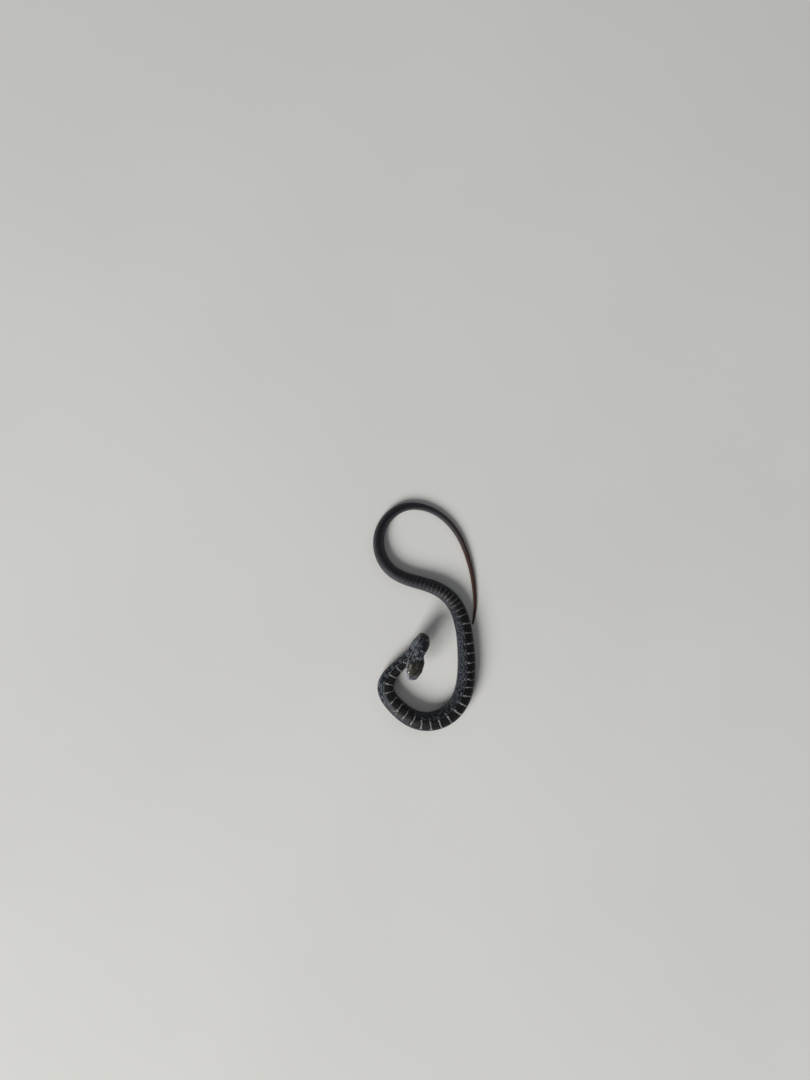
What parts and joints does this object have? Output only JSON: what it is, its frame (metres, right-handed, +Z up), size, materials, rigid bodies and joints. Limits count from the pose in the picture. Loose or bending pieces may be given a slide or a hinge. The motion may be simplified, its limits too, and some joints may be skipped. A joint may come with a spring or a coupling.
{
  "type": "young racer snake",
  "caption": "Still, life-size young snake lying in an open loop, neck folded up with the head raised over it, tail tip resting against its own flank.",
  "frame": {"origin": "middle of the snake's outline seen from above, on the floor under its belly", "axes": "+Z up from the floor, +Y along the long side of the pose, from the lower bend toward the upper loop, +X across it toward the side where the tail tip lies"},
  "size_m": [0.0485, 0.1065, 0.0162],
  "materials": {
    "head_skin": "smooth head shields, dark olive with pale lips",
    "body_skin": "smooth scales, blue grey with near-black saddles and narrow pale bars",
    "tail_skin": "smooth scales, plain grey turning red brown at the tip",
    "eye": "wet gloss"
  },
  "bodies": {
    "root": {"head": "head_skin", "eye_left": "eye", "eye_right": "eye", "neck_upper": "body_skin", "neck_fold": "body_skin", "neck_lower": "body_skin", "trunk_1": "body_skin", "trunk_2": "body_skin", "trunk_3": "body_skin", "trunk_4": "body_skin", "trunk_5": "body_skin", "trunk_6": "body_skin", "trunk_7": "body_skin", "tail_1": "tail_skin", "tail_2": "tail_skin", "tail_3": "tail_skin"}
  },
  "joints": []
}
